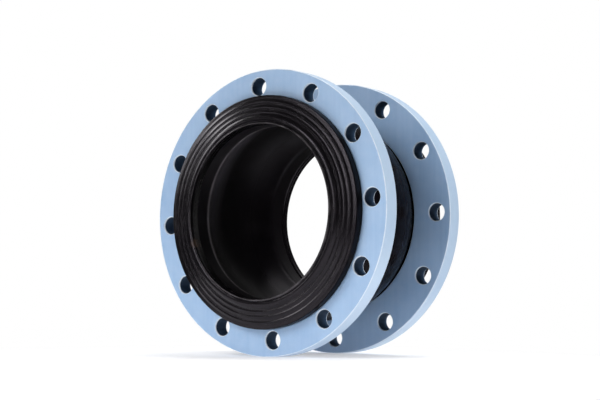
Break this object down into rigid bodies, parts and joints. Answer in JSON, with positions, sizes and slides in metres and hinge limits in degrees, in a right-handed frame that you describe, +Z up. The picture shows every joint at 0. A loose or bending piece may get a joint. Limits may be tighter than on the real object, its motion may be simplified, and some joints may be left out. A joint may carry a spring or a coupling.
{
  "type": "rubber expansion joint",
  "caption": "Single-sphere rubber pipe expansion joint with ridged rubber sealing faces and two loose, drilled steel flanges.",
  "frame": {"origin": "middle of the bore, halfway between the two sealing faces", "axes": "+Y along the pipe axis from the front end to the rear end, +Z up as the joint stands on its flange rims, +X to the right seen from the front end"},
  "size_m": [0.3992, 0.23, 0.3992],
  "materials": {
    "flange_paint": "satin light steel-blue paint over turned steel plate",
    "black_rubber": "moulded, semi-gloss",
    "cord_fabric": "dipped nylon cord, brown",
    "bead_rubber": "hard, dull",
    "bead_wire": "bronze-coated bead wire"
  },
  "bodies": {
    "front_loose_flange": {"front_flange": "flange_paint"},
    "front_bead_end": {"front_sealing_face": "black_rubber", "front_bead_filler": "bead_rubber", "front_bead_core_wire": "bead_wire", "front_bead_wire_1": "bead_wire", "front_bead_wire_2": "bead_wire", "front_bead_wire_3": "bead_wire", "front_bead_wire_4": "bead_wire", "front_bead_wire_5": "bead_wire", "front_bead_wire_6": "bead_wire"},
    "front_half_wall": {"inner_liner": "black_rubber", "cord_ply_inner": "cord_fabric"},
    "rear_half_wall": {"cord_ply_middle": "cord_fabric", "cord_ply_outer": "cord_fabric", "outer_cover": "black_rubber"},
    "rear_bead_end": {"rear_sealing_face": "black_rubber", "rear_bead_filler": "bead_rubber", "rear_bead_core_wire": "bead_wire", "rear_bead_wire_1": "bead_wire", "rear_bead_wire_2": "bead_wire", "rear_bead_wire_3": "bead_wire", "rear_bead_wire_4": "bead_wire", "rear_bead_wire_5": "bead_wire", "rear_bead_wire_6": "bead_wire"},
    "rear_loose_flange": {"rear_flange": "flange_paint"}
  },
  "joints": [
    {"name": "front_flange_swivel", "type": "hinge", "parent": "front_loose_flange", "child": "front_bead_end", "pos_m": [0, -0.0815, 0], "axis": [0, 1, 0], "continuous": true},
    {"name": "axial_travel", "type": "slide", "parent": "front_bead_end", "child": "front_half_wall", "axis": [0, 1, 0], "range_m": [-0.025, 0.016], "stiffness_N_per_m": 100000, "deforming": ["inner_liner", "cord_ply_inner"]},
    {"name": "bend", "type": "hinge", "parent": "front_half_wall", "child": "rear_half_wall", "pos_m": [0, 0, 0], "axis": [0, 0, 1], "range_deg": [-15, 15], "stiffness_Nm_per_rad": 1200, "deforming": ["cord_ply_middle", "cord_ply_outer", "outer_cover"]},
    {"name": "side_travel", "type": "slide", "parent": "rear_half_wall", "child": "rear_bead_end", "axis": [1, 0, 0], "range_m": [-0.022, 0.022], "stiffness_N_per_m": 120000},
    {"name": "rear_flange_swivel", "type": "hinge", "parent": "rear_bead_end", "child": "rear_loose_flange", "pos_m": [0, 0.0815, 0], "axis": [0, 1, 0], "continuous": true}
  ]
}
